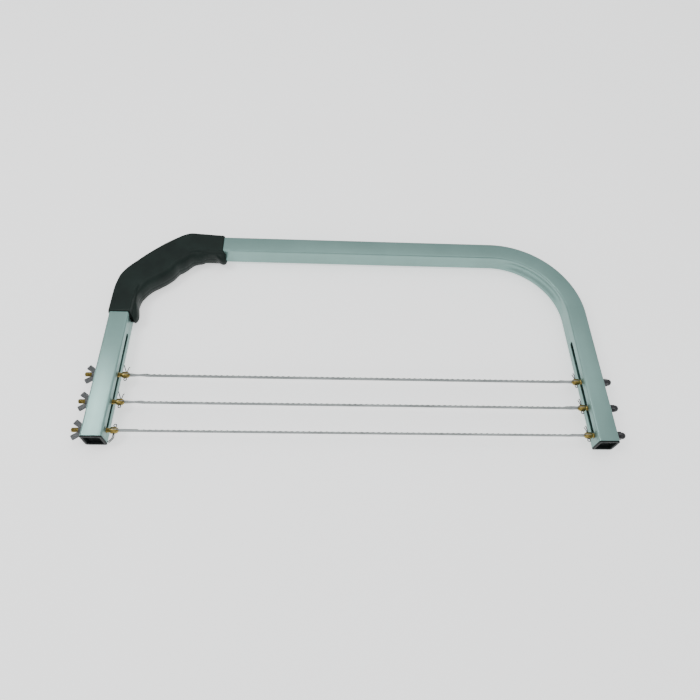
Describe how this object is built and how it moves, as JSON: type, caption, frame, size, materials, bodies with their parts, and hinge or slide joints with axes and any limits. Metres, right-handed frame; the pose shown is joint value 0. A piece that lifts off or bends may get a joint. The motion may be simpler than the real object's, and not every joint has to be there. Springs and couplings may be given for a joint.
{
  "type": "three-blade bow slicer",
  "caption": "Bow-shaped cake slicer: bent square tube frame with a clamshell grip and serrated strip blades on slotted studs, each tightened by a wing nut.",
  "frame": {"origin": "middle of the underside, with the slicer lying flat on its back", "axes": "+X along the blades, away from the grip; +Y from the leg ends to the bar; +Z out of the frame plane, towards the teeth"},
  "size_m": [0.5768, 0.2695, 0.026],
  "materials": {
    "satin_aluminium": "satin anodised",
    "black_plastic": "moulded, fine grain",
    "plug_plastic": "moulded",
    "brass": "turned, slightly tarnished",
    "blade_steel": "ground",
    "nut_steel": "dull zinc plate",
    "dark_steel": "black oxide",
    "pin_steel": "dull"
  },
  "bodies": {
    "frame": {"frame_tube": "satin_aluminium", "left_end_plug": "plug_plastic", "right_end_plug": "plug_plastic", "grip_front_shell": "black_plastic", "grip_back_shell": "black_plastic", "grip_screws": "dark_steel"},
    "blade_set_bottom": {"blade_bottom": "blade_steel", "tension_stud_bottom": "brass", "anchor_stud_bottom": "brass", "left_pin_bottom": "pin_steel", "right_pin_bottom": "pin_steel", "anchor_washer_bottom": "dark_steel", "lock_nut_bottom": "dark_steel", "cap_nut_bottom": "dark_steel"},
    "washer_bottom": {"wing_washer_bottom": "nut_steel"},
    "nut_bottom": {"wing_nut_bottom": "nut_steel"},
    "blade_set_middle": {"blade_middle": "blade_steel", "tension_stud_middle": "brass", "anchor_stud_middle": "brass", "left_pin_middle": "pin_steel", "right_pin_middle": "pin_steel", "anchor_washer_middle": "dark_steel", "lock_nut_middle": "dark_steel", "cap_nut_middle": "dark_steel"},
    "washer_middle": {"wing_washer_middle": "nut_steel"},
    "nut_middle": {"wing_nut_middle": "nut_steel"},
    "blade_set_top": {"blade_top": "blade_steel", "tension_stud_top": "brass", "anchor_stud_top": "brass", "left_pin_top": "pin_steel", "right_pin_top": "pin_steel", "anchor_washer_top": "dark_steel", "lock_nut_top": "dark_steel", "cap_nut_top": "dark_steel"},
    "washer_top": {"wing_washer_top": "nut_steel"},
    "nut_top": {"wing_nut_top": "nut_steel"}
  },
  "joints": [
    {"name": "blade_slide_bottom", "type": "slide", "parent": "frame", "child": "blade_set_bottom", "axis": [0, 1, 0], "range_m": [0, 0.0042]},
    {"name": "nut_travel_bottom", "type": "slide", "parent": "blade_set_bottom", "child": "washer_bottom", "axis": [-1, 0, 0], "range_m": [0, 0.008]},
    {"name": "wing_nut_turn_bottom", "type": "hinge", "parent": "washer_bottom", "child": "nut_bottom", "pos_m": [-0.2765, -0.12309, 0.013], "axis": [-1, 0, 0], "range_deg": [0, 3600]},
    {"name": "blade_slide_middle", "type": "slide", "parent": "frame", "child": "blade_set_middle", "axis": [0, 1, 0], "range_m": [-0.0042, 0.0042]},
    {"name": "nut_travel_middle", "type": "slide", "parent": "blade_set_middle", "child": "washer_middle", "axis": [-1, 0, 0], "range_m": [0, 0.008]},
    {"name": "wing_nut_turn_middle", "type": "hinge", "parent": "washer_middle", "child": "nut_middle", "pos_m": [-0.2765, -0.09109, 0.013], "axis": [-1, 0, 0], "range_deg": [0, 3600]},
    {"name": "blade_slide_top", "type": "slide", "parent": "frame", "child": "blade_set_top", "axis": [0, 1, 0], "range_m": [-0.0042, 0.0492]},
    {"name": "nut_travel_top", "type": "slide", "parent": "blade_set_top", "child": "washer_top", "axis": [-1, 0, 0], "range_m": [0, 0.008]},
    {"name": "wing_nut_turn_top", "type": "hinge", "parent": "washer_top", "child": "nut_top", "pos_m": [-0.2765, -0.05909, 0.013], "axis": [-1, 0, 0], "range_deg": [0, 3600]}
  ],
  "couplings": [
    {"joint": "wing_nut_turn_bottom", "follows": "nut_travel_bottom", "rad_per_m": 7854},
    {"joint": "wing_nut_turn_middle", "follows": "nut_travel_middle", "rad_per_m": 7854},
    {"joint": "wing_nut_turn_top", "follows": "nut_travel_top", "rad_per_m": 7854}
  ]
}
